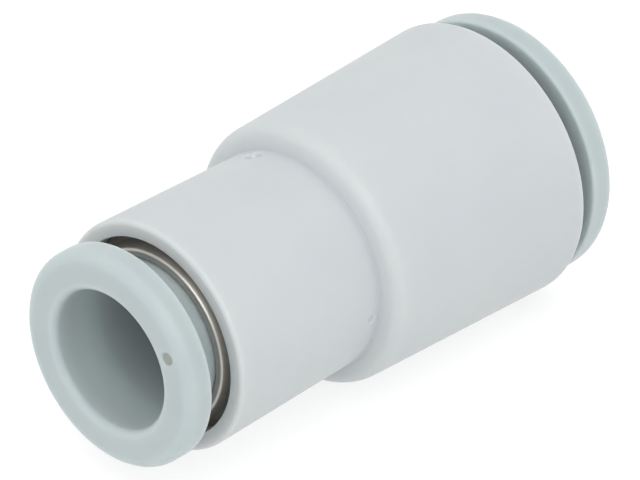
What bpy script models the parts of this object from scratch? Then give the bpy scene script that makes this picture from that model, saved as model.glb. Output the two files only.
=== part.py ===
"""Push fit coupling that joins an 8 mm air tube to a 10 mm one.

One moulded body holds two grip sets, one behind each mouth. From the mouth inwards each set is a
release button, a steel guide pressed into the bore, a slit collet, a claw chuck and a lip seal.
The coupling lies along X with its small end at -X, and its origin is the middle of its length.
"""

import math
from dataclasses import dataclass

import bmesh
import bpy
from mathutils import Matrix, Vector

# Lengths and radii are in millimetres, and MM turns them into metres.
MM = 0.001
SEGMENTS = 40
FILLET_STEPS = 2
SHARP_ANGLE = math.radians(35)

# Body
BODY_LENGTH = 28.91
SMALL_BARREL_LENGTH = 12.19
SMALL_BARREL_ROOT_RADIUS = 7.29
SHOULDER_RADIUS = 8.655
SHOULDER_SLOPE = 0.3
SHOULDER_FILLET = 0.55
MOUTH_EDGE_FILLET = 0.2
PASSAGE_RADIUS = 3.0

# Clearances
PRESS_GAP = 0.05
BUTTON_CLEARANCE = 0.58
COLLET_CLEARANCE = 0.15
PILOT_CLEARANCE = 0.08
SLIDE_GAP = 0.12

# Depths below a mouth, the same at both ends
GUIDE_POCKET_DEPTH = 4.6
CHAMBER_DEPTH = 8.2
SEAL_POCKET_DEPTH = 11.2
TUBE_STOP_DEPTH = 13.6

# Release button
NECK_INSET = 1.4
NECK_FILLET = 0.35
BUTTON_EDGE_FILLET = 0.75
BUTTON_BACK_FILLET = 0.2
BUTTON_MOUTH_FILLET = 0.5
RETAINER_DEPTH = 2.0
RETAINER_HEIGHT = 0.4
RETAINER_LENGTH = 0.4
NOSE_DEPTH = 3.3
NOSE_TAPER = 0.25

# Guide
GUIDE_RECESS = 0.05
GUIDE_BEAD_INSET = 0.85
GUIDE_FOOT_INSET = 0.52
GUIDE_NECK_CLEARANCE = 0.1
GUIDE_BEAD_INNER_FILLET = 0.1
GUIDE_BEAD_OUTER_FILLET = 0.28
GUIDE_GROOVE_DEPTH = 1.0
GUIDE_BARB_DEPTH = 1.4
GUIDE_LIP_DEPTH = 1.5
GUIDE_CONE_START = 0.65
GUIDE_CONE_END = 0.4

# Collet
COLLET_FRONT_DEPTH = 3.8
COLLET_SHOULDER_DEPTH = 4.5
COLLET_BACK_DEPTH = 6.0
COLLET_CONE_CLEARANCE = 0.08
COLLET_FUNNEL = 0.5
COLLET_SLIT_WIDTH = 0.6
COLLET_SLIT_END_DEPTH = 5.3
COLLET_SLITS = 8

# Chuck
CHUCK_THICKNESS = 0.3
CHUCK_FRONT_DEPTH = 6.08
CHUCK_CLAW_DROP = 0.75
CHUCK_CLAW_ROOT = 1.0
CHUCK_BITE = 0.05
CHUCK_CLAWS = 12
CHUCK_SLOT_WIDTH = 0.5

# Seal
SEAL_FRONT_DEPTH = 8.4
SEAL_BACK_DEPTH = 11.1
SEAL_SQUEEZE = 0.12
SEAL_HEEL_CLEARANCE = 0.3
SEAL_HEEL_LENGTH = 1.1
SEAL_LIP_WALL = 0.55

# Linear colours, with roughness and metallic value
BODY_FINISH = ((0.66, 0.70, 0.70), 0.42, 0.0)
BUTTON_FINISH = ((0.56, 0.62, 0.61), 0.38, 0.0)
COLLET_FINISH = ((0.58, 0.62, 0.60), 0.40, 0.0)
STEEL_FINISH = ((0.52, 0.51, 0.49), 0.22, 1.0)
SEAL_FINISH = ((0.022, 0.022, 0.023), 0.55, 0.0)


@dataclass(frozen=True)
class End:
    """The sizes in which the two ends differ."""

    name: str
    tube_radius: float
    mouth_radius: float
    bore_radius: float
    chamber_radius: float
    seal_pocket_radius: float
    button_radius: float
    button_thickness: float
    button_gap: float

    @property
    def button_bore(self):
        return self.tube_radius + BUTTON_CLEARANCE

    @property
    def neck_radius(self):
        return self.bore_radius - NECK_INSET

    @property
    def collet_bore(self):
        return self.tube_radius + COLLET_CLEARANCE

    @property
    def pilot_radius(self):
        return self.tube_radius + PILOT_CLEARANCE

    @property
    def reach(self):
        """How far the button stands out of the mouth."""
        return self.button_gap + self.button_thickness


SMALL_END = End(
    name="small",
    tube_radius=4.0,
    mouth_radius=7.57,
    bore_radius=6.55,
    chamber_radius=6.2,
    seal_pocket_radius=5.9,
    button_radius=7.12,
    button_thickness=1.85,
    button_gap=2.04,
)
LARGE_END = End(
    name="large",
    tube_radius=5.0,
    mouth_radius=9.25,
    bore_radius=7.9,
    chamber_radius=7.5,
    seal_pocket_radius=7.15,
    button_radius=8.79,
    button_thickness=1.92,
    button_gap=1.34,
)

TOTAL_LENGTH = SMALL_END.reach + BODY_LENGTH + LARGE_END.reach
SMALL_MOUTH_X = SMALL_END.reach - TOTAL_LENGTH / 2
LARGE_MOUTH_X = SMALL_MOUTH_X + BODY_LENGTH


def clear_scene():
    for obj in list(bpy.data.objects):
        bpy.data.objects.remove(obj, do_unlink=True)


def finish(name, values):
    """A Principled material from its colour, roughness and metallic value."""
    colour, roughness, metallic = values
    material = bpy.data.materials.new(name)
    material.use_nodes = True
    shader = material.node_tree.nodes["Principled BSDF"]
    shader.inputs["Base Color"].default_value = (*colour, 1.0)
    shader.inputs["Roughness"].default_value = roughness
    shader.inputs["Metallic"].default_value = metallic
    return material


def fillet_arc(before, corner, after, radius):
    """The points of the arc that rounds a corner between two others."""
    back = (before - corner).normalized()
    forward = (after - corner).normalized()
    half_angle = back.angle(forward) / 2
    centre = corner + (back + forward).normalized() * radius / math.sin(half_angle)
    start = corner + back * radius / math.tan(half_angle) - centre
    end = corner + forward * radius / math.tan(half_angle) - centre
    sweep = math.atan2(start.x * end.y - start.y * end.x, start.dot(end))
    turns = [Matrix.Rotation(sweep * step / FILLET_STEPS, 2) for step in range(FILLET_STEPS + 1)]
    return [centre + turn @ start for turn in turns]


def rounded(corners):
    """A closed outline from (depth, radius) corners, or (depth, radius, fillet) where it is round."""
    places = [Vector(corner[:2]) for corner in corners]
    points = []
    for index, corner in enumerate(corners):
        place = places[index]
        if len(corner) == 2:
            points.append(place)
            continue
        after = places[(index + 1) % len(places)]
        points += fillet_arc(places[index - 1], place, after, corner[2])
    return points


def turned(name, corners, material, parent=None):
    """A ring turned about its own X axis, with the middle of a facet at its lowest side."""
    bm = bmesh.new()
    half_facet = Matrix.Rotation(math.pi / SEGMENTS, 3, "X")
    verts = [bm.verts.new(half_facet @ Vector((x, 0, r)) * MM) for x, r in rounded(corners)]
    edges = [bm.edges.new(ends) for ends in zip(verts, verts[1:] + verts[:1])]
    bmesh.ops.spin(
        bm,
        geom=verts + edges,
        cent=(0, 0, 0),
        axis=(1, 0, 0),
        angle=2 * math.pi,
        steps=SEGMENTS,
        use_merge=True,
    )
    bmesh.ops.recalc_face_normals(bm, faces=bm.faces)
    mesh = bpy.data.meshes.new(name)
    bm.to_mesh(mesh)
    bm.free()
    mesh.shade_smooth()
    mesh.set_sharp_from_angle(angle=SHARP_ANGLE)
    mesh.materials.append(material)
    obj = bpy.data.objects.new(name, mesh)
    obj.parent = parent
    bpy.context.collection.objects.link(obj)
    return obj


def slot_cutter(name, low_depth, high_depth, half_length, width, angle, parent):
    """A hidden box across the axis, turned about it, that cuts two opposite slots."""
    bm = bmesh.new()
    bmesh.ops.create_cube(bm, size=1.0)
    size = Vector((high_depth - low_depth, width, 2 * half_length)) * MM
    bmesh.ops.scale(bm, vec=size, verts=bm.verts)
    bmesh.ops.translate(bm, vec=((low_depth + high_depth) / 2 * MM, 0, 0), verts=bm.verts)
    mesh = bpy.data.meshes.new(name)
    bm.to_mesh(mesh)
    bm.free()
    cutter = bpy.data.objects.new(name, mesh)
    cutter.rotation_euler.x = angle
    cutter.parent = parent
    cutter.hide_render = True
    cutter.display_type = "WIRE"
    bpy.context.collection.objects.link(cutter)
    return cutter


def cut_slots(ring, count, low_depth, high_depth, half_length, width):
    """Cuts an even number of equal slots round a ring, two at a time."""
    for index in range(count // 2):
        angle = 2 * math.pi * index / count
        name = f"{ring.name}_slot_cutter_{index}"
        cutter = slot_cutter(name, low_depth, high_depth, half_length, width, angle, ring.parent)
        cut = ring.modifiers.new(f"slot_{index}", "BOOLEAN")
        cut.operation = "DIFFERENCE"
        cut.solver = "EXACT"
        cut.object = cutter


def bore_corners(end):
    """The inside of the body below one mouth, from the mouth down to the passage."""
    return [
        (0, end.bore_radius),
        (GUIDE_POCKET_DEPTH, end.bore_radius),
        (GUIDE_POCKET_DEPTH, end.chamber_radius),
        (CHAMBER_DEPTH, end.chamber_radius),
        (CHAMBER_DEPTH, end.seal_pocket_radius),
        (SEAL_POCKET_DEPTH, end.seal_pocket_radius),
        (SEAL_POCKET_DEPTH, end.pilot_radius),
        (TUBE_STOP_DEPTH, end.pilot_radius),
        (TUBE_STOP_DEPTH, PASSAGE_RADIUS),
    ]


def add_body(material):
    """The moulded body: a thin barrel, a rounded shoulder and a thicker barrel, bored from both ends."""
    small_bore = bore_corners(SMALL_END)
    large_bore = [(BODY_LENGTH - depth, radius) for depth, radius in bore_corners(LARGE_END)]
    outside = [
        (0, SMALL_END.mouth_radius, MOUTH_EDGE_FILLET),
        (SMALL_BARREL_LENGTH, SMALL_BARREL_ROOT_RADIUS),
        (SMALL_BARREL_LENGTH + SHOULDER_SLOPE, SHOULDER_RADIUS, SHOULDER_FILLET),
        (BODY_LENGTH, LARGE_END.mouth_radius, MOUTH_EDGE_FILLET),
    ]
    body = turned("body", outside + large_bore + small_bore[::-1], material)
    body.location.x = SMALL_MOUTH_X * MM


def add_release_button(end, material, mouth):
    """A flanged sleeve: its rib hooks behind the guide's lip, and its nose pushes the collet."""
    rib_radius = end.neck_radius + RETAINER_HEIGHT
    turned(
        f"{end.name}_release_button",
        [
            (-end.reach, end.button_bore, BUTTON_MOUTH_FILLET),
            (-end.reach, end.button_radius, BUTTON_EDGE_FILLET),
            (-end.button_gap, end.button_radius, BUTTON_BACK_FILLET),
            (-end.button_gap, end.neck_radius, NECK_FILLET),
            (RETAINER_DEPTH, end.neck_radius),
            (RETAINER_DEPTH, rib_radius),
            (RETAINER_DEPTH + RETAINER_LENGTH, rib_radius),
            (NOSE_DEPTH, end.neck_radius - NOSE_TAPER),
            (NOSE_DEPTH, end.button_bore),
        ],
        material,
        mouth,
    )


def guide_cone_radius(end, depth):
    """The radius of the cone inside the guide, which narrows towards the mouth."""
    start = end.bore_radius - GUIDE_CONE_START
    finish_radius = end.bore_radius - GUIDE_CONE_END
    share = (depth - GUIDE_LIP_DEPTH) / (GUIDE_POCKET_DEPTH - GUIDE_LIP_DEPTH)
    return start + (finish_radius - start) * share


def add_guide(end, material, mouth):
    """A steel ring pressed into the bore, with a rolled bead at the mouth and a wedging cone inside."""
    bead_outer = end.bore_radius - GUIDE_BEAD_INSET
    bead_inner = end.neck_radius + GUIDE_NECK_CLEARANCE
    press_radius = end.bore_radius - PRESS_GAP
    back_depth = GUIDE_POCKET_DEPTH - PRESS_GAP
    turned(
        f"{end.name}_guide",
        [
            (GUIDE_RECESS, bead_inner, GUIDE_BEAD_INNER_FILLET),
            (GUIDE_RECESS, bead_outer, GUIDE_BEAD_OUTER_FILLET),
            (GUIDE_GROOVE_DEPTH, end.bore_radius - GUIDE_FOOT_INSET),
            (GUIDE_BARB_DEPTH, press_radius),
            (back_depth, press_radius),
            (back_depth, guide_cone_radius(end, back_depth)),
            (GUIDE_LIP_DEPTH, guide_cone_radius(end, GUIDE_LIP_DEPTH)),
            (GUIDE_LIP_DEPTH, bead_inner),
        ],
        material,
        mouth,
    )


def add_collet(end, material, mouth):
    """A slit plastic ring whose outer cone wedges in the guide."""
    front_radius = guide_cone_radius(end, COLLET_FRONT_DEPTH) - COLLET_CONE_CLEARANCE
    wide_radius = guide_cone_radius(end, COLLET_SHOULDER_DEPTH) - COLLET_CONE_CLEARANCE
    collet = turned(
        f"{end.name}_collet",
        [
            (COLLET_FRONT_DEPTH, front_radius),
            (COLLET_SHOULDER_DEPTH, wide_radius),
            (COLLET_BACK_DEPTH, wide_radius),
            (COLLET_BACK_DEPTH, end.collet_bore),
            (COLLET_FRONT_DEPTH + COLLET_FUNNEL, end.collet_bore),
            (COLLET_FRONT_DEPTH, end.collet_bore + COLLET_FUNNEL),
        ],
        material,
        mouth,
    )
    slit_start = COLLET_FRONT_DEPTH - 1
    reach = end.bore_radius
    cut_slots(collet, COLLET_SLITS, slit_start, COLLET_SLIT_END_DEPTH, reach, COLLET_SLIT_WIDTH)


def add_chuck(end, material, mouth):
    """A thin steel ring whose claws lean inwards, so that a tube slides in but not out."""
    rim_radius = end.chamber_radius - 2 * SLIDE_GAP
    root_radius = end.tube_radius + CHUCK_CLAW_ROOT
    tip_radius = end.tube_radius - CHUCK_BITE
    back_depth = CHUCK_FRONT_DEPTH + CHUCK_THICKNESS
    chuck = turned(
        f"{end.name}_chuck",
        [
            (CHUCK_FRONT_DEPTH, rim_radius),
            (back_depth, rim_radius),
            (back_depth, root_radius),
            (back_depth + CHUCK_CLAW_DROP, tip_radius + CHUCK_THICKNESS / 2),
            (back_depth + CHUCK_CLAW_DROP - CHUCK_THICKNESS / 2, tip_radius),
            (CHUCK_FRONT_DEPTH, root_radius - CHUCK_THICKNESS / 2),
        ],
        material,
        mouth,
    )
    slot_end = back_depth + CHUCK_CLAW_DROP + 1
    cut_slots(chuck, CHUCK_CLAWS, CHUCK_FRONT_DEPTH - 1, slot_end, root_radius, CHUCK_SLOT_WIDTH)


def add_seal(end, material, mouth):
    """A rubber cup seal: its inner and outer lips open towards the pressure in the passage."""
    outer_radius = end.seal_pocket_radius - PRESS_GAP
    heel_radius = end.tube_radius + SEAL_HEEL_CLEARANCE
    lip_radius = end.tube_radius - SEAL_SQUEEZE
    heel_end = SEAL_FRONT_DEPTH + SEAL_HEEL_LENGTH
    turned(
        f"{end.name}_seal",
        [
            (SEAL_FRONT_DEPTH, outer_radius),
            (SEAL_BACK_DEPTH, outer_radius),
            (SEAL_BACK_DEPTH, outer_radius - SEAL_LIP_WALL),
            (heel_end, (outer_radius + heel_radius) / 2),
            (SEAL_BACK_DEPTH - SEAL_LIP_WALL, lip_radius + SEAL_LIP_WALL),
            (SEAL_BACK_DEPTH - SEAL_LIP_WALL, lip_radius),
            (heel_end, heel_radius),
            (SEAL_FRONT_DEPTH, heel_radius),
        ],
        material,
        mouth,
    )


def add_mouth(end, x, turn):
    """An empty on the axis at a mouth, with its +X pointing into the body."""
    mouth = bpy.data.objects.new(f"{end.name}_mouth", None)
    mouth.location.x = x * MM
    mouth.rotation_euler.z = turn
    bpy.context.collection.objects.link(mouth)
    return mouth


def add_end(end, mouth):
    """Everything that one end holds, each piece with its own material."""
    name = end.name
    add_release_button(end, finish(f"{name}_button_acetal", BUTTON_FINISH), mouth)
    add_guide(end, finish(f"{name}_guide_steel", STEEL_FINISH), mouth)
    add_collet(end, finish(f"{name}_collet_acetal", COLLET_FINISH), mouth)
    add_chuck(end, finish(f"{name}_chuck_steel", STEEL_FINISH), mouth)
    add_seal(end, finish(f"{name}_seal_rubber", SEAL_FINISH), mouth)


def main():
    clear_scene()
    add_body(finish("body_plastic", BODY_FINISH))
    add_end(SMALL_END, add_mouth(SMALL_END, SMALL_MOUTH_X, 0))
    add_end(LARGE_END, add_mouth(LARGE_END, LARGE_MOUTH_X, math.pi))


main()
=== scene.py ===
"""The looks of the push fit coupling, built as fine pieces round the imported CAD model.

Each piece is turned about the tube axis, which is the frame's X, and stands for one CAD node.
"""

import math
from dataclasses import dataclass

import bmesh
import bpy
from mathutils import Matrix, Vector


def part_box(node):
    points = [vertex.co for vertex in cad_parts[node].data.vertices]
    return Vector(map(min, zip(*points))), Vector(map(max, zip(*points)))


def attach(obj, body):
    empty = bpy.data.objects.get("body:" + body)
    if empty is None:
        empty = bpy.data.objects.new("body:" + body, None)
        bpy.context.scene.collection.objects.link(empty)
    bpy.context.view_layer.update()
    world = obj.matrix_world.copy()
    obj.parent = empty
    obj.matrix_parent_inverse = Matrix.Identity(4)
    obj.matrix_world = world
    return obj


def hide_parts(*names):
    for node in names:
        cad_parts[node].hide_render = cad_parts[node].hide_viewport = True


# Outlines are in millimetres, and MM turns them into metres. Camera, lights and textures are in metres.
MM = 0.001
SEGMENTS = 192
FILLET_STEPS = 7
SHARP_ANGLE = math.radians(40)

# Camera: it looks at a point in the frame from this far away
CAMERA_AZIMUTH = -46.32
CAMERA_ELEVATION = 31.87
CAMERA_DISTANCE = 0.3462
CAMERA_AIM = (-0.00495, -0.00516, 0.00495)
CAMERA_LENS = 323.3
CAMERA_NEAR = 0.01
CAMERA_FAR = 20

# Body
BODY_LENGTH = 28.91
SMALL_BARREL_LENGTH = 12.19
SMALL_BARREL_ROOT_RADIUS = 7.29
SHOULDER_RADIUS = 8.655
SHOULDER_SLOPE = 0.4
SHOULDER_FILLET = 1.0
CREASE_FILLET = 0.15
MOUTH_EDGE_FILLET = 0.32
BORE_EDGE_FILLET = 0.05
STEP_FILLET = 0.1
PASSAGE_RADIUS = 3.0

# Clearances
PRESS_GAP = 0.05
BUTTON_CLEARANCE = 0.58
COLLET_CLEARANCE = 0.15
PILOT_CLEARANCE = 0.08
SLIDE_GAP = 0.12

# Depths below a mouth, the same at both ends
GUIDE_POCKET_DEPTH = 4.6
CHAMBER_DEPTH = 8.2
SEAL_POCKET_DEPTH = 11.2
TUBE_STOP_DEPTH = 13.6

# Release button
NECK_INSET = 1.4
NECK_FILLET = 0.35
BUTTON_EDGE_FILLET = 0.75
BUTTON_BACK_FILLET = 0.2
BUTTON_MOUTH_FILLET = 0.5
RETAINER_DEPTH = 2.0
RETAINER_HEIGHT = 0.4
RETAINER_LENGTH = 0.4
RETAINER_FILLET = 0.06
NOSE_DEPTH = 3.3
NOSE_TAPER = 0.25

# Guide
GUIDE_RECESS = 0.05
GUIDE_BEAD_INSET = 0.85
GUIDE_FOOT_INSET = 0.52
GUIDE_NECK_CLEARANCE = 0.1
GUIDE_BEAD_INNER_FILLET = 0.1
GUIDE_BEAD_OUTER_FILLET = 0.28
GUIDE_GROOVE_DEPTH = 1.0
GUIDE_BARB_DEPTH = 1.4
GUIDE_LIP_DEPTH = 1.5
GUIDE_CONE_START = 0.65
GUIDE_CONE_END = 0.4
GUIDE_FILLET = 0.06

# Collet
COLLET_FRONT_DEPTH = 3.8
COLLET_SHOULDER_DEPTH = 4.5
COLLET_BACK_DEPTH = 6.0
COLLET_CONE_CLEARANCE = 0.08
COLLET_FUNNEL = 0.5
COLLET_SLIT_WIDTH = 0.6
COLLET_SLIT_END_DEPTH = 5.3
COLLET_SLITS = 8
COLLET_FILLET = 0.1

# Chuck
CHUCK_THICKNESS = 0.3
CHUCK_FRONT_DEPTH = 6.08
CHUCK_CLAW_DROP = 0.75
CHUCK_CLAW_ROOT = 1.0
CHUCK_BITE = 0.05
CHUCK_CLAWS = 12
CHUCK_SLOT_WIDTH = 0.5

# Seal
SEAL_FRONT_DEPTH = 8.4
SEAL_BACK_DEPTH = 11.1
SEAL_SQUEEZE = 0.12
SEAL_HEEL_CLEARANCE = 0.3
SEAL_HEEL_LENGTH = 1.1
SEAL_LIP_WALL = 0.55
SEAL_FILLET = 0.12
SEAL_GROOVE_FILLET = 0.2

# Cutters reach this far past what they cut
OVERSHOOT = 1.0

# Mould marks: a gate scar and a nick on the small barrel by the crease, and a pin mark on each button.
# Rings round the axis are MARK_RING_STEP apart near a mark, from MARK_MARGIN radii before the gate scar
# on the barrel, and the faces within MARK_REACH radii of a mark's middle are cut up further. MARK_RIM,
# GATE_NUB_RIM and SPOT_CORE are shares of a radius: the two sloping rims, and the full colour of a painted
# shade spot.
MARK_RING_STEP = 0.15
MARK_CUTS = 4
MARK_REACH = 1.3
MARK_MARGIN = 1.5
MARK_RIM = 0.35
GATE_ANGLE = -18
GATE_DEPTH = 11.1
GATE_RADIUS = 0.62
GATE_SINK = 0.13
GATE_NUB_RADIUS = 0.3
GATE_NUB_HEIGHT = 0.17
GATE_NUB_RIM = 0.7
NICK_ANGLE = 97
NICK_DEPTH = 11.55
NICK_RADIUS = 0.32
NICK_SINK = 0.07
BUTTON_MARK_ANGLE = 64
BUTTON_MARK_RADIUS = 0.52
BUTTON_MARK_SINK = 0.09
SPOT_CORE = 0.6

# Linear colours, each a pair that a pattern mixes
BODY_COLOURS = ((0.448, 0.476, 0.484), (0.430, 0.460, 0.472))
BUTTON_COLOURS = ((0.380, 0.424, 0.428), (0.362, 0.410, 0.418))
# Painted shade: the darker colour in each button's pin mark stands for the shadow in its dimple
BUTTON_MARK_SHADE_COLOUR = (0.262, 0.292, 0.270)
COLLET_COLOURS = ((0.440, 0.480, 0.475), (0.415, 0.460, 0.455))
GUIDE_COLOURS = ((0.500, 0.480, 0.450), (0.430, 0.412, 0.385))
CHUCK_COLOURS = ((0.560, 0.550, 0.535), (0.480, 0.470, 0.455))
SEAL_COLOURS = ((0.020, 0.020, 0.021), (0.032, 0.032, 0.033))

# How far red, green and blue light spread inside each plastic, in millimetres
BODY_GLOW = (1.7, 1.35, 1.0)
BUTTON_GLOW = (1.44, 1.6, 1.52)
COLLET_GLOW = (0.9, 1.0, 0.95)

# Textures: scales are in features per metre, and most of a noise's values lie between the two limits
NOISE_LOW = 0.3
NOISE_HIGH = 0.7
PLASTIC_GRAIN_SCALE = 9000
PLASTIC_SPECULAR = 0.35
STEEL_RING_SCALE = 14000
STEEL_CLOUD_SCALE = 700
RUBBER_BLOOM_SCALE = 900
RUBBER_GRAIN_SCALE = 12000

# Stage
FLOOR_SIZE = 3.0
FLOOR_COLOUR = (0.30, 0.30, 0.30, 1.0)
FLOOR_GLOW = 0.72
FLOOR_ROUGHNESS = 0.9
FLOOR_SPECULAR = 0.1
WORLD_COLOUR = (1.0, 1.0, 1.0, 1.0)
WORLD_STRENGTH = 1.1


@dataclass(frozen=True)
class End:
    """The sizes in which the two ends differ, in millimetres. inwards is the X direction into the body."""

    name: str
    inwards: int
    tube_radius: float
    mouth_radius: float
    bore_radius: float
    chamber_radius: float
    seal_pocket_radius: float
    button_radius: float
    button_thickness: float
    button_gap: float

    @property
    def mouth_x(self):
        low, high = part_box("body")
        return (low.x if self.inwards > 0 else high.x) / MM

    @property
    def button_bore(self):
        return self.tube_radius + BUTTON_CLEARANCE

    @property
    def neck_radius(self):
        return self.bore_radius - NECK_INSET

    @property
    def collet_bore(self):
        return self.tube_radius + COLLET_CLEARANCE

    @property
    def pilot_radius(self):
        return self.tube_radius + PILOT_CLEARANCE

    @property
    def reach(self):
        return self.button_gap + self.button_thickness

    @property
    def face_radii(self):
        """Where the flat front of the button starts and ends."""
        return self.button_bore + BUTTON_MOUTH_FILLET, self.button_radius - BUTTON_EDGE_FILLET

    @property
    def button_mark(self):
        """The middle of the pin mark on the front of the button."""
        middle = round_the_axis(BUTTON_MARK_ANGLE) @ Vector((0, 0, sum(self.face_radii) / 2))
        middle.x = self.mouth_x - self.inwards * self.reach
        return middle

    def place(self, corners):
        """Corners given as (depth below the mouth, radius, ...), moved to (x, radius, ...)."""
        return [(self.mouth_x + self.inwards * depth, *rest) for depth, *rest in corners]


SMALL_END = End(
    name="small",
    inwards=1,
    tube_radius=4.0,
    mouth_radius=7.57,
    bore_radius=6.55,
    chamber_radius=6.2,
    seal_pocket_radius=5.9,
    button_radius=7.12,
    button_thickness=1.85,
    button_gap=2.04,
)
LARGE_END = End(
    name="large",
    inwards=-1,
    tube_radius=5.0,
    mouth_radius=9.25,
    bore_radius=7.9,
    chamber_radius=7.5,
    seal_pocket_radius=7.15,
    button_radius=8.79,
    button_thickness=1.92,
    button_gap=1.34,
)


# Shapes


def fillet_arc(before, corner, after, radius):
    """The points of the arc that rounds a corner between two others."""
    back = (before - corner).normalized()
    forward = (after - corner).normalized()
    half_angle = back.angle(forward) / 2
    centre = corner + (back + forward).normalized() * radius / math.sin(half_angle)
    start = corner + back * radius / math.tan(half_angle) - centre
    end = corner + forward * radius / math.tan(half_angle) - centre
    sweep = math.atan2(start.x * end.y - start.y * end.x, start.dot(end))
    turns = [Matrix.Rotation(sweep * step / FILLET_STEPS, 2) for step in range(FILLET_STEPS + 1)]
    return [centre + turn @ start for turn in turns]


def rounded(corners):
    """A closed outline from (x, radius) corners, or (x, radius, fillet) where it is round."""
    places = [Vector(corner[:2]) for corner in corners]
    points = []
    for index, corner in enumerate(corners):
        place = places[index]
        if len(corner) == 2:
            points.append(place)
            continue
        after = places[(index + 1) % len(places)]
        points += fillet_arc(places[index - 1], place, after, corner[2])
    return points


def shaded(name, bm):
    """A mesh object from a bmesh, smooth except at its sharp edges."""
    bmesh.ops.recalc_face_normals(bm, faces=bm.faces)
    mesh = bpy.data.meshes.new(name)
    bm.to_mesh(mesh)
    bm.free()
    mesh.shade_smooth()
    mesh.set_sharp_from_angle(angle=SHARP_ANGLE)
    obj = bpy.data.objects.new(name, mesh)
    bpy.context.scene.collection.objects.link(obj)
    return obj


def turned(name, corners):
    """A ring turned about the tube axis from the corners of its outline."""
    bm = bmesh.new()
    verts = [bm.verts.new(Vector((x, 0, radius)) * MM) for x, radius in rounded(corners)]
    edges = [bm.edges.new(ends) for ends in zip(verts, verts[1:] + verts[:1])]
    bmesh.ops.spin(
        bm,
        geom=verts + edges,
        cent=(0, 0, 0),
        axis=(1, 0, 0),
        angle=2 * math.pi,
        steps=SEGMENTS,
        use_merge=True,
    )
    return shaded(name, bm)


def round_the_axis(angle):
    """The turn about the tube axis that takes +Z towards -Y, which is the camera's side."""
    return Matrix.Rotation(math.radians(angle), 4, "X")


def box_cutter(size, centre, turn):
    """A box of this size in millimetres, moved to its centre and then turned about the axis."""
    bm = bmesh.new()
    bmesh.ops.create_cube(bm, size=1.0)
    bmesh.ops.scale(bm, vec=Vector(size) * MM, verts=bm.verts)
    bmesh.ops.translate(bm, vec=Vector(centre) * MM, verts=bm.verts)
    bmesh.ops.transform(bm, matrix=turn, verts=bm.verts)
    return shaded("cutter", bm)


def smooth_step(share):
    """A smooth rise from 0 to 1 as share goes from 0 to 1."""
    share = min(max(share, 0.0), 1.0)
    return share * share * (3 - 2 * share)


def dimple(radius, sink):
    """A flat bottomed dimple: its height, which is negative, at a distance from its middle."""
    return lambda distance: -sink * smooth_step((radius - distance) / (MARK_RIM * radius))


def scar(distance):
    """A gate scar: a dimple with the broken stub of the gate standing in its middle."""
    nub_rise = smooth_step((GATE_NUB_RADIUS - distance) / (GATE_NUB_RIM * GATE_NUB_RADIUS))
    return dimple(GATE_RADIUS, GATE_SINK)(distance) + GATE_NUB_HEIGHT * nub_rise


def press_mark(piece, middle, outwards, radius, height_at):
    """Refines the faces round a point in millimetres, and moves them out by height_at(distance)."""
    bm = bmesh.new()
    bm.from_mesh(piece.data)
    middle = Vector(middle) * MM
    outwards = Vector(outwards)
    reach = MARK_REACH * radius * MM
    near = [face for face in bm.faces if (face.calc_center_median() - middle).length < reach]
    edges = {edge for face in near for edge in face.edges}
    bmesh.ops.subdivide_edges(bm, edges=list(edges), cuts=MARK_CUTS, use_grid_fill=True)
    for vert in bm.verts:
        distance = (vert.co - middle).length / MM
        if distance < radius:
            vert.co += outwards * height_at(distance) * MM
    bm.to_mesh(piece.data)
    bm.free()


def cut(piece, cutters):
    """Takes the cutters out of a piece, one after another, and removes them."""
    for cutter in cutters:
        modifier = piece.modifiers.new("cut", "BOOLEAN")
        modifier.operation = "DIFFERENCE"
        modifier.solver = "EXACT"
        modifier.object = cutter
    graph = bpy.context.evaluated_depsgraph_get()
    mesh = bpy.data.meshes.new_from_object(piece.evaluated_get(graph))
    piece.modifiers.clear()
    piece.data = mesh
    mesh.shade_smooth()
    mesh.set_sharp_from_angle(angle=SHARP_ANGLE)
    for cutter in cutters:
        bpy.data.objects.remove(cutter)


def slot_cutters(end, count, low_depth, high_depth, half_length, width):
    """Boxes across the axis, each of which cuts two opposite slots."""
    size = (high_depth - low_depth, width, 2 * half_length)
    middle = end.mouth_x + end.inwards * (low_depth + high_depth) / 2
    turns = [round_the_axis(360 * index / count) for index in range(count // 2)]
    return [box_cutter(size, (middle, 0, 0), turn) for turn in turns]


# Materials


def new_material(name, roughness, metallic=0.0):
    """A new node material, its node tree and its shader."""
    material = bpy.data.materials.new(name)
    material.use_nodes = True
    shader = material.node_tree.nodes["Principled BSDF"]
    shader.inputs["Roughness"].default_value = roughness
    shader.inputs["Metallic"].default_value = metallic
    return material, material.node_tree, shader


def object_space(tree):
    return tree.nodes.new("ShaderNodeTexCoord").outputs["Object"]


def noise(tree, vector, scale, detail=3.0):
    """Noise whose features are about 1 / scale metres across."""
    node = tree.nodes.new("ShaderNodeTexNoise")
    node.inputs["Scale"].default_value = scale
    node.inputs["Detail"].default_value = detail
    tree.links.new(vector, node.inputs["Vector"])
    return node.outputs["Fac"]


def ring_space(tree):
    """Coordinates that are equal all round the axis, so that noise in them makes turned rings."""
    split = tree.nodes.new("ShaderNodeSeparateXYZ")
    tree.links.new(object_space(tree), split.inputs[0])
    flat = tree.nodes.new("ShaderNodeCombineXYZ")
    tree.links.new(split.outputs["Y"], flat.inputs["Y"])
    tree.links.new(split.outputs["Z"], flat.inputs["Z"])
    radius = tree.nodes.new("ShaderNodeVectorMath")
    radius.operation = "LENGTH"
    tree.links.new(flat.outputs[0], radius.inputs[0])
    rings = tree.nodes.new("ShaderNodeCombineXYZ")
    tree.links.new(split.outputs["X"], rings.inputs["X"])
    tree.links.new(radius.outputs["Value"], rings.inputs["Y"])
    return rings.outputs[0]


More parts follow.
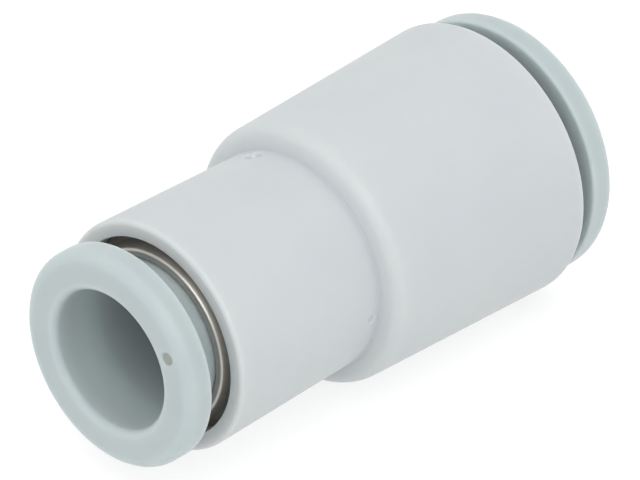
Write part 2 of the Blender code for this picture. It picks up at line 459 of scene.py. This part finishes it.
def spread(tree, value, low, high):
    """A noise, stretched so that most of its values run from low to high."""
    node = tree.nodes.new("ShaderNodeMapRange")
    node.inputs["From Min"].default_value = NOISE_LOW
    node.inputs["From Max"].default_value = NOISE_HIGH
    node.inputs["To Min"].default_value = low
    node.inputs["To Max"].default_value = high
    tree.links.new(value, node.inputs["Value"])
    return node.outputs["Result"]


def colour_mix(tree, factor):
    """A mix of two colours by a factor: the sockets of the first, the second and the result."""
    node = tree.nodes.new("ShaderNodeMix")
    node.data_type = "RGBA"
    tree.links.new(factor, node.inputs["Factor"])
    first, second = (socket for socket in node.inputs if socket.type == "RGBA")
    result = next(socket for socket in node.outputs if socket.type == "RGBA")
    return first, second, result


def clouded(tree, pattern, colours):
    """Two colours that follow a noise."""
    first, second, result = colour_mix(tree, spread(tree, pattern, 0, 1))
    first.default_value = (*colours[0], 1)
    second.default_value = (*colours[1], 1)
    return result


def spotted(tree, place, colour, shade_colour, middle, radius):
    """A colour with a round spot of another colour about a point in millimetres."""
    distance = tree.nodes.new("ShaderNodeVectorMath")
    distance.operation = "DISTANCE"
    distance.inputs[1].default_value = Vector(middle) * MM
    tree.links.new(place, distance.inputs[0])
    mask = tree.nodes.new("ShaderNodeMapRange")
    mask.interpolation_type = "SMOOTHSTEP"
    mask.inputs["From Min"].default_value = radius * MM
    mask.inputs["From Max"].default_value = SPOT_CORE * radius * MM
    tree.links.new(distance.outputs["Value"], mask.inputs["Value"])
    first, second, result = colour_mix(tree, mask.outputs["Result"])
    tree.links.new(colour, first)
    second.default_value = (*shade_colour, 1)
    return result


def bump(tree, height, distance, normal=None):
    """A bump of this depth in metres, on top of another where one is given."""
    node = tree.nodes.new("ShaderNodeBump")
    node.inputs["Strength"].default_value = 1.0
    node.inputs["Distance"].default_value = distance
    tree.links.new(height, node.inputs["Height"])
    if normal is not None:
        tree.links.new(normal, node.inputs["Normal"])
    return node.outputs["Normal"]


def moulded_plastic(name, colours, roughness, subsurface, glow, cloud_scale, grain_depth, shade_spots=()):
    """Moulded plastic: cloudy colour, patchy sheen, a long soft waviness and a fine mould grain.

    glow is how deep red, green and blue light spread under the surface, and each spot of painted shade is
    (colour, middle, radius): a darker disc that stands for the shadow in a pin mark's dimple.
    """
    material, tree, shader = new_material(name, roughness[0])
    place = object_space(tree)
    clouds = noise(tree, place, cloud_scale)
    patches = noise(tree, place, 3 * cloud_scale, detail=5)
    grain = noise(tree, place, PLASTIC_GRAIN_SCALE, detail=4)
    colour = clouded(tree, clouds, colours)
    for shade_colour, middle, radius in shade_spots:
        colour = spotted(tree, place, colour, shade_colour, middle, radius)
    tree.links.new(colour, shader.inputs["Base Color"])
    tree.links.new(spread(tree, patches, *roughness), shader.inputs["Roughness"])
    waves = bump(tree, clouds, 6 * grain_depth)
    tree.links.new(bump(tree, grain, grain_depth, waves), shader.inputs["Normal"])
    shader.inputs["Subsurface Weight"].default_value = subsurface
    shader.inputs["Subsurface Radius"].default_value = glow
    shader.inputs["Subsurface Scale"].default_value = MM
    shader.inputs["Specular IOR Level"].default_value = PLASTIC_SPECULAR
    return material


def turned_steel(name, colours, roughness, ring_depth):
    """Formed steel with fine rings round the axis and a faint cloudiness."""
    material, tree, shader = new_material(name, roughness[0], metallic=1.0)
    rings = noise(tree, ring_space(tree), STEEL_RING_SCALE, detail=4)
    clouds = noise(tree, object_space(tree), STEEL_CLOUD_SCALE)
    tree.links.new(clouded(tree, clouds, colours), shader.inputs["Base Color"])
    tree.links.new(spread(tree, rings, *roughness), shader.inputs["Roughness"])
    tree.links.new(bump(tree, rings, ring_depth), shader.inputs["Normal"])
    return material


def nitrile_rubber(name, colours, roughness, grain_depth):
    """Black rubber with a faint uneven bloom and a fine grain."""
    material, tree, shader = new_material(name, roughness[0])
    place = object_space(tree)
    bloom = noise(tree, place, RUBBER_BLOOM_SCALE, detail=4)
    grain = noise(tree, place, RUBBER_GRAIN_SCALE, detail=3)
    tree.links.new(clouded(tree, bloom, colours), shader.inputs["Base Color"])
    tree.links.new(spread(tree, bloom, *roughness), shader.inputs["Roughness"])
    tree.links.new(bump(tree, grain, grain_depth), shader.inputs["Normal"])
    return material


def body_plastic(name):
    return moulded_plastic(
        name,
        BODY_COLOURS,
        roughness=(0.46, 0.56),
        subsurface=0.6,
        glow=BODY_GLOW,
        cloud_scale=160,
        grain_depth=1.2e-6,
    )


def button_acetal(name):
    """Plastic for both buttons, each with a darker disc of painted shade in the pin mark on its face."""
    return moulded_plastic(
        name,
        BUTTON_COLOURS,
        roughness=(0.32, 0.42),
        subsurface=1.0,
        glow=BUTTON_GLOW,
        cloud_scale=260,
        grain_depth=1e-6,
        shade_spots=[(BUTTON_MARK_SHADE_COLOUR, end.button_mark, BUTTON_MARK_RADIUS) for end in (SMALL_END, LARGE_END)],
    )


def collet_acetal(name):
    return moulded_plastic(
        name,
        COLLET_COLOURS,
        roughness=(0.38, 0.48),
        subsurface=0.4,
        glow=COLLET_GLOW,
        cloud_scale=300,
        grain_depth=1e-6,
    )


def guide_steel(name):
    return turned_steel(name, GUIDE_COLOURS, roughness=(0.34, 0.46), ring_depth=0.6e-6)


def chuck_steel(name):
    return turned_steel(name, CHUCK_COLOURS, roughness=(0.24, 0.36), ring_depth=0.6e-6)


def seal_rubber(name):
    return nitrile_rubber(name, SEAL_COLOURS, roughness=(0.50, 0.66), grain_depth=1.5e-6)


def make_finishes():
    """The material for each of the record's slots, by the slot's name."""
    makers = (body_plastic, button_acetal, collet_acetal, guide_steel, chuck_steel, seal_rubber)
    return {maker.__name__: maker(maker.__name__) for maker in makers}


# Pieces


def bore_corners(end):
    """The inside of the body below one mouth, from the mouth down to the passage."""
    return [
        (0, end.bore_radius, BORE_EDGE_FILLET),
        (GUIDE_POCKET_DEPTH, end.bore_radius, STEP_FILLET),
        (GUIDE_POCKET_DEPTH, end.chamber_radius, STEP_FILLET),
        (CHAMBER_DEPTH, end.chamber_radius, STEP_FILLET),
        (CHAMBER_DEPTH, end.seal_pocket_radius, STEP_FILLET),
        (SEAL_POCKET_DEPTH, end.seal_pocket_radius, STEP_FILLET),
        (SEAL_POCKET_DEPTH, end.pilot_radius, STEP_FILLET),
        (TUBE_STOP_DEPTH, end.pilot_radius, STEP_FILLET),
        (TUBE_STOP_DEPTH, PASSAGE_RADIUS, STEP_FILLET),
    ]


def barrel_radius(depth):
    """The small barrel's outer radius, which shrinks evenly from its mouth to the crease."""
    shrink = SMALL_END.mouth_radius - SMALL_BARREL_ROOT_RADIUS
    return SMALL_END.mouth_radius - shrink * depth / SMALL_BARREL_LENGTH


def body_outside():
    """The outside from mouth to mouth, with extra rings where the mould marks are."""
    start = GATE_DEPTH - MARK_MARGIN * GATE_RADIUS
    count = int((SMALL_BARREL_LENGTH - start) / MARK_RING_STEP)
    depths = [start + MARK_RING_STEP * index for index in range(count)]
    return [
        (0, SMALL_END.mouth_radius, MOUTH_EDGE_FILLET),
        *[(depth, barrel_radius(depth)) for depth in depths],
        (SMALL_BARREL_LENGTH, SMALL_BARREL_ROOT_RADIUS, CREASE_FILLET),
        (SMALL_BARREL_LENGTH + SHOULDER_SLOPE, SHOULDER_RADIUS, SHOULDER_FILLET),
        (BODY_LENGTH, LARGE_END.mouth_radius, MOUTH_EDGE_FILLET),
    ]


def mark_barrel(body, angle, depth, radius, height_at):
    """Presses a mark into the small barrel, at an angle from its top and a depth below its mouth."""
    outwards = round_the_axis(angle) @ Vector((0, 0, 1))
    middle = outwards * barrel_radius(depth)
    middle.x = SMALL_END.mouth_x + depth
    press_mark(body, middle, outwards, radius, height_at)


def add_body():
    outside = SMALL_END.place(body_outside())
    large_bore = LARGE_END.place(bore_corners(LARGE_END))
    small_bore = SMALL_END.place(bore_corners(SMALL_END))
    body = turned("body_shell", outside + large_bore + small_bore[::-1])
    mark_barrel(body, GATE_ANGLE, GATE_DEPTH, GATE_RADIUS, scar)
    mark_barrel(body, NICK_ANGLE, NICK_DEPTH, NICK_RADIUS, dimple(NICK_RADIUS, NICK_SINK))
    return body


def add_release_button(end):
    rib_radius = end.neck_radius + RETAINER_HEIGHT
    face_start, face_end = end.face_radii
    count = int((face_end - face_start) / MARK_RING_STEP)
    rings = [face_start + MARK_RING_STEP * (index + 0.5) for index in range(count)]
    corners = [
        (-end.reach, end.button_bore, BUTTON_MOUTH_FILLET),
        *[(-end.reach, radius) for radius in rings],
        (-end.reach, end.button_radius, BUTTON_EDGE_FILLET),
        (-end.button_gap, end.button_radius, BUTTON_BACK_FILLET),
        (-end.button_gap, end.neck_radius, NECK_FILLET),
        (RETAINER_DEPTH, end.neck_radius),
        (RETAINER_DEPTH, rib_radius, RETAINER_FILLET),
        (RETAINER_DEPTH + RETAINER_LENGTH, rib_radius, RETAINER_FILLET),
        (NOSE_DEPTH, end.neck_radius - NOSE_TAPER, RETAINER_FILLET),
        (NOSE_DEPTH, end.button_bore, RETAINER_FILLET),
    ]
    button = turned(f"{end.name}_button", end.place(corners))
    outwards = (-end.inwards, 0, 0)
    height_at = dimple(BUTTON_MARK_RADIUS, BUTTON_MARK_SINK)
    press_mark(button, end.button_mark, outwards, BUTTON_MARK_RADIUS, height_at)
    return button


def guide_cone_radius(end, depth):
    """The radius of the cone inside the guide, which narrows towards the mouth."""
    start = end.bore_radius - GUIDE_CONE_START
    finish_radius = end.bore_radius - GUIDE_CONE_END
    share = (depth - GUIDE_LIP_DEPTH) / (GUIDE_POCKET_DEPTH - GUIDE_LIP_DEPTH)
    return start + (finish_radius - start) * share


def add_guide(end):
    bead_outer = end.bore_radius - GUIDE_BEAD_INSET
    bead_inner = end.neck_radius + GUIDE_NECK_CLEARANCE
    press_radius = end.bore_radius - PRESS_GAP
    back_depth = GUIDE_POCKET_DEPTH - PRESS_GAP
    corners = [
        (GUIDE_RECESS, bead_inner, GUIDE_BEAD_INNER_FILLET),
        (GUIDE_RECESS, bead_outer, GUIDE_BEAD_OUTER_FILLET),
        (GUIDE_GROOVE_DEPTH, end.bore_radius - GUIDE_FOOT_INSET, GUIDE_FILLET),
        (GUIDE_BARB_DEPTH, press_radius, GUIDE_FILLET),
        (back_depth, press_radius, GUIDE_FILLET),
        (back_depth, guide_cone_radius(end, back_depth), GUIDE_FILLET),
        (GUIDE_LIP_DEPTH, guide_cone_radius(end, GUIDE_LIP_DEPTH), GUIDE_FILLET),
        (GUIDE_LIP_DEPTH, bead_inner, GUIDE_FILLET),
    ]
    return turned(f"{end.name}_guide_ring", end.place(corners))


def add_collet(end):
    front_radius = guide_cone_radius(end, COLLET_FRONT_DEPTH) - COLLET_CONE_CLEARANCE
    wide_radius = guide_cone_radius(end, COLLET_SHOULDER_DEPTH) - COLLET_CONE_CLEARANCE
    corners = [
        (COLLET_FRONT_DEPTH, front_radius, COLLET_FILLET),
        (COLLET_SHOULDER_DEPTH, wide_radius),
        (COLLET_BACK_DEPTH, wide_radius, COLLET_FILLET),
        (COLLET_BACK_DEPTH, end.collet_bore, COLLET_FILLET),
        (COLLET_FRONT_DEPTH + COLLET_FUNNEL, end.collet_bore, COLLET_FILLET),
        (COLLET_FRONT_DEPTH, end.collet_bore + COLLET_FUNNEL, COLLET_FILLET),
    ]
    collet = turned(f"{end.name}_collet_ring", end.place(corners))
    low = COLLET_FRONT_DEPTH - OVERSHOOT
    high = COLLET_SLIT_END_DEPTH
    cut(collet, slot_cutters(end, COLLET_SLITS, low, high, end.bore_radius, COLLET_SLIT_WIDTH))
    return collet


def add_chuck(end):
    rim_radius = end.chamber_radius - 2 * SLIDE_GAP
    root_radius = end.tube_radius + CHUCK_CLAW_ROOT
    tip_radius = end.tube_radius - CHUCK_BITE
    back_depth = CHUCK_FRONT_DEPTH + CHUCK_THICKNESS
    corners = [
        (CHUCK_FRONT_DEPTH, rim_radius),
        (back_depth, rim_radius),
        (back_depth, root_radius, CHUCK_THICKNESS / 2),
        (back_depth + CHUCK_CLAW_DROP, tip_radius + CHUCK_THICKNESS / 2),
        (back_depth + CHUCK_CLAW_DROP - CHUCK_THICKNESS / 2, tip_radius),
        (CHUCK_FRONT_DEPTH, root_radius - CHUCK_THICKNESS / 2, CHUCK_THICKNESS),
    ]
    chuck = turned(f"{end.name}_chuck_ring", end.place(corners))
    low = CHUCK_FRONT_DEPTH - OVERSHOOT
    high = back_depth + CHUCK_CLAW_DROP + OVERSHOOT
    cut(chuck, slot_cutters(end, CHUCK_CLAWS, low, high, root_radius, CHUCK_SLOT_WIDTH))
    return chuck


def add_seal(end):
    outer_radius = end.seal_pocket_radius - PRESS_GAP
    heel_radius = end.tube_radius + SEAL_HEEL_CLEARANCE
    lip_radius = end.tube_radius - SEAL_SQUEEZE
    heel_end = SEAL_FRONT_DEPTH + SEAL_HEEL_LENGTH
    lip_end = SEAL_BACK_DEPTH - SEAL_LIP_WALL
    corners = [
        (SEAL_FRONT_DEPTH, outer_radius, SEAL_FILLET),
        (SEAL_BACK_DEPTH, outer_radius, SEAL_FILLET),
        (SEAL_BACK_DEPTH, outer_radius - SEAL_LIP_WALL, SEAL_FILLET),
        (heel_end, (outer_radius + heel_radius) / 2, SEAL_GROOVE_FILLET),
        (lip_end, lip_radius + SEAL_LIP_WALL, SEAL_FILLET),
        (lip_end, lip_radius, SEAL_FILLET),
        (heel_end, heel_radius, SEAL_FILLET),
        (SEAL_FRONT_DEPTH, heel_radius, SEAL_FILLET),
    ]
    return turned(f"{end.name}_seal_ring", end.place(corners))


def dress(piece, finishes, slot, body, node):
    """Gives a piece its finish and the CAD body it rides on, and hides the CAD node it stands for."""
    piece.data.materials.clear()
    piece.data.materials.append(finishes[slot])
    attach(piece, body)
    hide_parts(node)


def add_end(end, finishes):
    """One end's button and grip set. The guide and the seal stay with the body."""
    name = end.name
    dress(add_release_button(end), finishes, "button_acetal", f"{name}_button", f"{name}_release_button")
    dress(add_guide(end), finishes, "guide_steel", "housing", f"{name}_guide")
    dress(add_collet(end), finishes, "collet_acetal", f"{name}_grip", f"{name}_collet")
    dress(add_chuck(end), finishes, "chuck_steel", f"{name}_grip", f"{name}_chuck")
    dress(add_seal(end), finishes, "seal_rubber", "housing", f"{name}_seal")


# Stage


def towards(azimuth, elevation):
    """The unit vector from the aim point back to a viewer there. Azimuth 0 looks along +Y."""
    a = math.radians(azimuth)
    e = math.radians(elevation)
    return Vector((math.sin(a) * math.cos(e), -math.cos(a) * math.cos(e), math.sin(e)))


def add_camera():
    data = bpy.data.cameras.new("camera")
    data.lens = CAMERA_LENS
    data.clip_start = CAMERA_NEAR
    data.clip_end = CAMERA_FAR
    camera = bpy.data.objects.new("camera", data)
    back = towards(CAMERA_AZIMUTH, CAMERA_ELEVATION)
    camera.location = Vector(CAMERA_AIM) + back * CAMERA_DISTANCE
    camera.rotation_euler = back.to_track_quat("Z", "Y").to_euler()
    bpy.context.scene.collection.objects.link(camera)
    bpy.context.scene.camera = camera


def add_softbox(name, azimuth, elevation, distance, size, power):
    """A square area light that faces the coupling."""
    data = bpy.data.lights.new(name, "AREA")
    data.shape = "SQUARE"
    data.size = size
    data.energy = power
    light = bpy.data.objects.new(name, data)
    back = towards(azimuth, elevation)
    light.location = back * distance
    light.rotation_euler = back.to_track_quat("Z", "Y").to_euler()
    bpy.context.scene.collection.objects.link(light)


def add_floor():
    """A light table: its own glow keeps the shadow on it faint."""
    bm = bmesh.new()
    bmesh.ops.create_grid(bm, x_segments=1, y_segments=1, size=FLOOR_SIZE)
    floor = shaded("floor", bm)
    floor.location.z = -LARGE_END.mouth_radius * MM
    material, _, shader = new_material("floor_paper", FLOOR_ROUGHNESS)
    shader.inputs["Base Color"].default_value = FLOOR_COLOUR
    shader.inputs["Specular IOR Level"].default_value = FLOOR_SPECULAR
    shader.inputs["Emission Color"].default_value = WORLD_COLOUR
    shader.inputs["Emission Strength"].default_value = FLOOR_GLOW
    floor.data.materials.append(material)


def add_light():
    """An even bright room, a soft key light beside the camera and a faint fill from the small end."""
    world = bpy.data.worlds.new("studio")
    world.use_nodes = True
    background = world.node_tree.nodes["Background"]
    background.inputs["Color"].default_value = WORLD_COLOUR
    background.inputs["Strength"].default_value = WORLD_STRENGTH
    bpy.context.scene.world = world
    add_softbox("key", azimuth=-35, elevation=48, distance=0.9, size=0.8, power=4.2)
    add_softbox("fill", azimuth=-100, elevation=25, distance=0.9, size=0.7, power=0.6)
    bpy.context.scene.view_settings.view_transform = "Standard"


def main():
    add_camera()
    add_light()
    add_floor()
    finishes = make_finishes()
    dress(add_body(), finishes, "body_plastic", "housing", "body")
    for end in (SMALL_END, LARGE_END):
        add_end(end, finishes)


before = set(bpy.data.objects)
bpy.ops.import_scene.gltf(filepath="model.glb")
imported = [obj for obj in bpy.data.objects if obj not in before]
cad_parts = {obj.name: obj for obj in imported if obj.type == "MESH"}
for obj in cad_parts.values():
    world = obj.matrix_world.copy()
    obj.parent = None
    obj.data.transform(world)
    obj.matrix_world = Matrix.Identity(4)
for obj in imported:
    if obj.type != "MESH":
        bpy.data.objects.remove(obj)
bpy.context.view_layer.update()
main()
